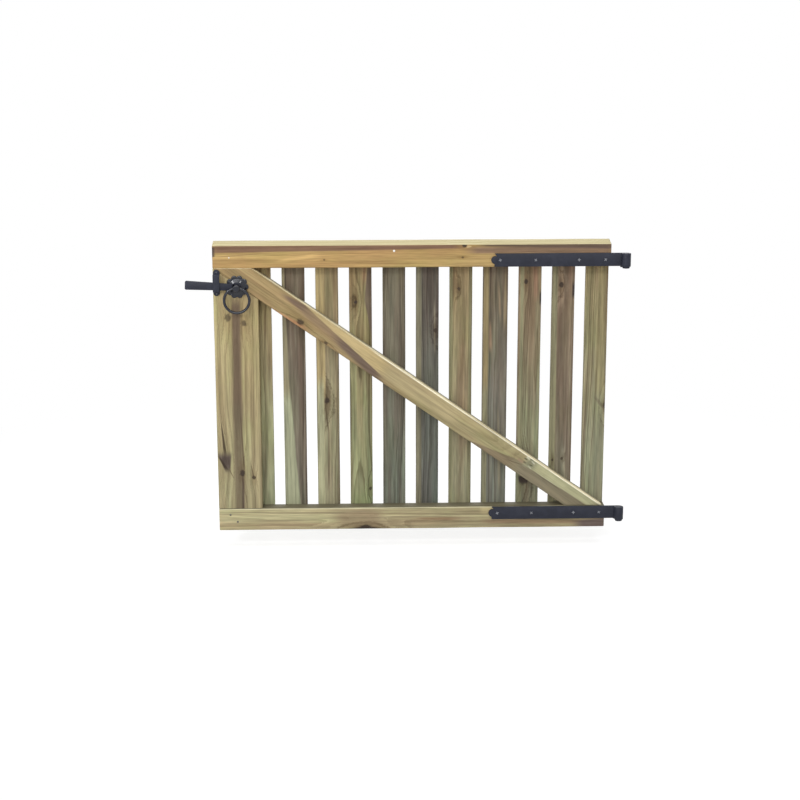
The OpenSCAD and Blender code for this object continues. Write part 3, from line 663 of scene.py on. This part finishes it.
nose_r, nose_len, strap_t, strap_round = 0.012, 0.010, 0.006, 0.0007
eye_turn = math.radians(302)
screw_share = (0.067, 0.33, 0.653, 0.85)
screw_turns = (0.3, 0.9, 0.1, 0.6)
head_proud = 0.001
worn_steel = coated_iron("worn_steel", (138, 140, 146), (116, 118, 124), (160, 162, 168),
                         rub=0.6, smooth=0.35, rough=0.55)
for strap in ("lower_strap", "upper_strap"):
    low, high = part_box(strap)
    length, mid_z = -low[0], (low[2] + high[2]) / 2
    shoulder, nose_x = low[0] + nose_len, low[0] + nose_r
    nose_half = math.sqrt(nose_r ** 2 - (nose_x - shoulder) ** 2)
    back = high[1]
    bm = bmesh.new()
    start = bm.verts.new((shoulder, back, mid_z - nose_half))
    nose_turn = 2 * math.acos((shoulder - nose_x) / nose_r)
    bmesh.ops.spin(bm, geom=[start], cent=(nose_x, back, mid_z), axis=(0, 1, 0), angle=nose_turn, steps=14)
    ends = [v for v in bm.verts if len(v.link_edges) == 1]
    first, last = sorted(ends, key=lambda v: v.co.z)
    corners = [bm.verts.new((shoulder, back, low[2])), bm.verts.new((0, back, low[2])),
               bm.verts.new((0, back, high[2])), bm.verts.new((shoulder, back, high[2]))]
    for pair in zip([first] + corners, corners + [last]):
        bm.edges.new(pair)
    bmesh.ops.edgeloop_fill(bm, edges=bm.edges)
    pushed = bmesh.ops.extrude_face_region(bm, geom=bm.faces[:])["geom"]
    pushed = [g for g in pushed if isinstance(g, bmesh.types.BMVert)]
    bmesh.ops.translate(bm, verts=pushed, vec=(0, -strap_t, 0))
    tail = [f for f in bm.faces if all(abs(v.co.x) < 1e-6 for v in f.verts)]
    tail += [e for f in tail for e in f.edges] + [v for f in tail for v in f.verts]
    bmesh.ops.spin(bm, geom=tail, cent=(0, pin_y, 0), axis=(0, 0, 1), angle=-eye_turn, steps=36)
    eased(bm, strap_round, 2, 40)
    finished(strap + "_iron", bm, black_iron, "leaf", "black_iron", strap)
    bm = bmesh.new()
    for turn_by, share in zip(screw_turns, screw_share):
        place = Matrix.Translation(((share - 1) * length, back - strap_t - head_proud, mid_z))
        cross_screw(bm, place @ to_front @ Matrix.Rotation(turn_by, 4, "Z"),
                    radius=0.006, slot_half=0.0013, slot_reach=0.0048, slot_depth=0.0005)
    finished(strap + "_screws", bm, black_iron, "leaf", "black_iron").data.materials.append(worn_steel)


# Keeper: a black iron strip bent into a bridge over the latch bar, with rounded tabs above and below
# that are screwed to the lock board.
low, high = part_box("latch_keeper")
latch_low, latch_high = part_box("latch_rosette")
pivot = Vector(((latch_low[0] + latch_high[0]) / 2, latch_high[1], (latch_low[2] + latch_high[2]) / 2))
iron_t, tab, tab_screw = 0.004, 0.013, 0.00715
tip_round, bend_round, cut_round = 0.0095, 0.003, 0.0006
front, rear = low[1], high[1]
hat = [(rear, low[2]), (rear, low[2] + tab + iron_t), (front + iron_t, low[2] + tab + iron_t),
       (front + iron_t, high[2] - tab - iron_t), (rear, high[2] - tab - iron_t), (rear, high[2]),
       (rear - iron_t, high[2]), (rear - iron_t, high[2] - tab), (front, high[2] - tab),
       (front, low[2] + tab), (rear - iron_t, low[2] + tab), (rear - iron_t, low[2])]
bm = bmesh.new()
swept(bm, [(low[0], y, z) for y, z in hat], (high[0] - low[0], 0, 0))
bmesh.ops.recalc_face_normals(bm, faces=bm.faces)


def spread(edge):
    """How far an edge reaches along x, y and z."""
    return [abs(part) for part in edge.verts[0].co - edge.verts[1].co]


tips = [e for e in bm.edges if spread(e)[1] > iron_t / 2 and spread(e)[2] < 1e-6
        and min(abs(e.verts[0].co.z - low[2]), abs(e.verts[0].co.z - high[2])) < 1e-5]
eased(bm, tip_round, 6, 30, tips)
bends = [e for e in bm.edges if spread(e)[0] > tip_round and e.verts[0].co.y < front + iron_t / 4]
eased(bm, bend_round, 4, 30, bends)
eased(bm, cut_round, 2, 40)
finished("keeper_iron", bm, black_iron, "leaf", "black_iron", "latch_keeper")
bm = bmesh.new()
for z in (low[2] + tab_screw, high[2] - tab_screw):
    place = Matrix.Translation(((low[0] + high[0]) / 2, rear - iron_t - head_proud, z))
    cross_screw(bm, place @ to_front, radius=0.0036, slot_half=0.0005, slot_reach=0.0024, slot_depth=0.0005)
finished("keeper_screws", bm, black_iron, "leaf", "black_iron").data.materials.append(worn_steel)


# Rosette: a cast plate with ten lobes that swell into a dome, behind the ring. The spindle turns in
# its middle, and four small screws between the lobes fix it to the lock board.
polished_iron = coated_iron("polished_black_iron", (25, 28, 37), (33, 36, 46), (90, 90, 94),
                            rub=0.25, smooth=0.12, rough=0.22, shine=0.45)
lobe_count, lobe_r, lobe_at, dome_r = 10, 0.0095, 0.0255, 0.033
lobe_part, lobe_steps = math.tau / lobe_count, 14
screws_at, screws_out, first_screw = 0.0283, 0.0046, 54
plate_rings = [(1.0, 0.0024, 0.0), (0.975, 0.0033, 0.0), (0.93, 0.0037, 0.0), (0.84, 0.0036, 0.1),
               (0.74, 0.0034, 0.6), (0.70, 0.0037, 1.0), (0.66, 0.0043, 1.0), (0.50, 0.0066, 1.0),
               (0.46, 0.0072, 1.0), (0.38, 0.0077, 1.0), (0.28, 0.0078, 1.0)]


def shaped(ring, share, height, even):
    """Sets a ring of the plate to its share of the outline, from lobed at the rim to round on the dome."""
    for v in ring:
        angle = math.atan2(v.co.y, v.co.x)
        off = (angle + lobe_part / 2) % lobe_part - lobe_part / 2
        span = lobe_at * math.cos(off) + math.sqrt(lobe_r ** 2 - (lobe_at * math.sin(off)) ** 2)
        span = share * (span + (dome_r - span) * even)
        v.co = (span * math.cos(angle), span * math.sin(angle), height)


bm = bmesh.new()
bmesh.ops.create_circle(bm, cap_ends=True, segments=lobe_count * lobe_steps, radius=1.0)
shaped(bm.verts, 1.0, 0.0, 0.0)
rim = bm.edges[:]
for share, height, even in plate_rings:
    made = bmesh.ops.extrude_edge_only(bm, edges=rim)["geom"]
    rim = [g for g in made if isinstance(g, bmesh.types.BMEdge)]
    shaped([g for g in made if isinstance(g, bmesh.types.BMVert)], share, height, even)
bmesh.ops.edgeloop_fill(bm, edges=rim)
bmesh.ops.transform(bm, matrix=Matrix.Translation(pivot) @ to_front, verts=bm.verts)
finished("rosette_iron", bm, polished_iron, "leaf", "black_iron", "latch_rosette")
bm = bmesh.new()
for quarter in range(4):
    angle = math.radians(first_screw + 90 * quarter)
    place = pivot + Vector((screws_at * math.cos(angle), -screws_out, screws_at * math.sin(angle)))
    cross_screw(bm, Matrix.Translation(place) @ to_front @ Matrix.Rotation(quarter, 4, "Z"),
                radius=0.0026, slot_half=0.0004, slot_reach=0.0016, slot_depth=0.0004)
finished("rosette_screws", bm, black_iron, "leaf", "black_iron").data.materials.append(worn_steel)


# Latch bar: a flat black bar on the spindle, tapered towards its hub, that rests in the keeper and
# reaches past the gate's end. Its arrises are eased and the corners of its tip are cut off.
bar_rest = math.radians(3)
bar_gap, bar_t, bar_ease, hub_r = 0.0083, 0.006, 0.0008, 0.015
bar_len, tip_half, neck_h, tip_cut, neck_at = 0.155, 0.0135, 0.010, 0.003, 0.006
bm = bmesh.new()
swept(bm, [(-neck_at, neck_h, 0), (-neck_at, -neck_h, 0), (tip_cut - bar_len, -tip_half, 0),
           (-bar_len, tip_cut - tip_half, 0), (-bar_len, tip_half - tip_cut, 0),
           (tip_cut - bar_len, tip_half, 0)], (0, 0, bar_t))
eased(bm, bar_ease)
turned(bm, [(0, 0), (hub_r - bar_ease, 0), (hub_r, bar_ease), (hub_r, bar_t - bar_ease),
            (hub_r - bar_ease, bar_t), (0, bar_t)], Matrix.Identity(4))
lay = Matrix.Translation(pivot + Vector((0, -bar_gap, 0))) @ Matrix.Rotation(bar_rest, 4, "Y") @ to_front
bmesh.ops.transform(bm, matrix=lay, verts=bm.verts)
finished("bar_iron", bm, black_iron, "latch", "black_iron", "latch_bar")


# Spindle: the round boss on the front of the bar, drilled across for the ring, and the pin that goes
# through the rosette. The solid has the right shape, so it only takes the coating.
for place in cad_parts["latch_spindle"].material_slots:
    place.material = polished_iron


# Ring: a bar of round black iron bent into a ring and closed in the boss's hole. It hangs there by its
# own weight, and turning it lifts the bar.
low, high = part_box("latch_ring")
wire_r = (high[1] - low[1]) / 2
ring_r = (high[0] - low[0]) / 2 - wire_r
bm = bmesh.new()
bmesh.ops.create_circle(bm, segments=20, radius=wire_r, matrix=Matrix.Translation((ring_r, 0, 0)) @ to_front)
bmesh.ops.spin(bm, geom=bm.verts[:] + bm.edges[:], cent=(0, 0, 0), axis=(0, 0, 1), angle=math.tau,
               steps=80, use_merge=True)
hang = Matrix.Translation((Vector(low) + Vector(high)) / 2) @ to_front
bmesh.ops.transform(bm, matrix=hang, verts=bm.verts)
finished("ring_iron", bm, polished_iron, "ring", "black_iron", "latch_ring")


# Studio: a pale floor under the hung gate and a plain white surround, lit by large soft lamps from
# the front, above and behind, two small ones for the shine of the iron and weak light all round.
leaf_middle = Vector((-0.64, 0.0, 0.40))
scene = bpy.context.scene
scene.view_settings.view_transform = "Standard"
world = bpy.data.worlds.new("white_studio")
scene.world = world
world.use_nodes = True
nodes = world.node_tree.nodes


def seen_straight(nodes):
    """1 for what the camera sees, straight or in a mirror or through glass."""
    ray = put(nodes, "ShaderNodeLightPath").outputs
    mirrored = maths(nodes, "MAXIMUM", ray["Is Glossy Ray"], ray["Is Transmission Ray"])
    return maths(nodes, "MAXIMUM", ray["Is Camera Ray"], mirrored)


surround_level = 0.45
nodes["Background"].inputs["Color"].default_value = (1, 1, 1, 1)
surround = fade(nodes, seen_straight(nodes), 0.0, 1.0, surround_level, 1.0)
nodes.id_data.links.new(surround, nodes["Background"].inputs["Strength"])

floor_drop, floor_r, floor_grey, floor_glow = 0.06, 30.0, 0.6, 0.55
white_from, white_to = 0.9, 2.2
bm = bmesh.new()
bmesh.ops.create_circle(bm, cap_ends=True, segments=64, radius=floor_r,
                        matrix=Matrix.Translation((leaf_middle.x, 0, cad_box[0][2] - floor_drop)))
mesh = bpy.data.meshes.new("pale_floor")
bm.to_mesh(mesh)
bm.free()
floor = bpy.data.objects.new("pale_floor", mesh)
scene.collection.objects.link(floor)
material = bpy.data.materials.new("pale_floor")
material.use_nodes = True
nodes = material.node_tree.nodes
nodes.remove(nodes["Principled BSDF"])
place = put(nodes, "ShaderNodeTexCoord").outputs["Object"]
place = put(nodes, "ShaderNodeMapping", {"Vector": place, "Location": (-leaf_middle.x, 0, 0)}).outputs[0]
distance = put(nodes, "ShaderNodeVectorMath", {0: place}, operation="LENGTH").outputs["Value"]
matt = put(nodes, "ShaderNodeBsdfDiffuse", {"Color": (floor_grey, floor_grey, floor_grey, 1)}).outputs[0]
seen = seen_straight(nodes)
near_level = maths(nodes, "MULTIPLY", seen, floor_glow)
near_glow = put(nodes, "ShaderNodeEmission", {"Strength": near_level}).outputs[0]
near = put(nodes, "ShaderNodeAddShader", {0: matt, 1: near_glow}).outputs[0]
white = put(nodes, "ShaderNodeEmission").outputs[0]
far = put(nodes, "ShaderNodeMixShader", {0: seen, 1: matt, 2: white}).outputs[0]
whiter = fade(nodes, distance, white_from, white_to)
whole = put(nodes, "ShaderNodeMixShader", {0: whiter, 1: near, 2: far}).outputs[0]
nodes.id_data.links.new(whole, nodes["Material Output"].inputs["Surface"])
mesh.materials.append(material)

lamps = (("front_lamp", (-2.2, -5.0, 2.6), 4.0, 156.0), ("top_lamp", (-1.0, -0.8, 5.2), 4.0, 90.0),
         ("left_lamp", (-3.8, -3.5, 2.8), 0.35, 30.0), ("right_lamp", (0.6, -3.8, 3.1), 0.4, 12.0),
         ("back_lamp", (-0.6, 4.8, 3.0), 4.0, 80.0))
for name, stand, wide, power in lamps:
    lamp = bpy.data.lights.new(name, "AREA")
    lamp.size = wide
    lamp.energy = power
    lamp_object = bpy.data.objects.new(name, lamp)
    lamp_object.location = stand
    lamp_object.rotation_euler = (leaf_middle - Vector(stand)).to_track_quat("-Z", "Y").to_euler()
    scene.collection.objects.link(lamp_object)


# Camera: a long lens about five metres in front of the gate, above it and a little to the left of its
# middle, which looks down at it.
frame_px, focal_px, film_mm = 800, 1642.5, 36.0
stand = Vector((-0.8217, -4.9064, 1.5216))
yaw, pitch, roll = math.radians(1.646), math.radians(13.304), math.radians(-0.092)
ahead = Vector((math.sin(yaw) * math.cos(pitch), math.cos(yaw) * math.cos(pitch), -math.sin(pitch)))
level = Vector((math.cos(yaw), -math.sin(yaw), 0))
upward = level.cross(ahead)
side = level * math.cos(roll) + upward * math.sin(roll)
top = upward * math.cos(roll) - level * math.sin(roll)
lens = bpy.data.cameras.new("camera")
lens.sensor_fit = "HORIZONTAL"
lens.sensor_width = film_mm
lens.lens = focal_px * film_mm / frame_px
camera = bpy.data.objects.new("camera", lens)
camera.matrix_world = Matrix.Translation(stand) @ Matrix((side, top, -ahead)).transposed().to_4x4()
scene.collection.objects.link(camera)
scene.camera = camera
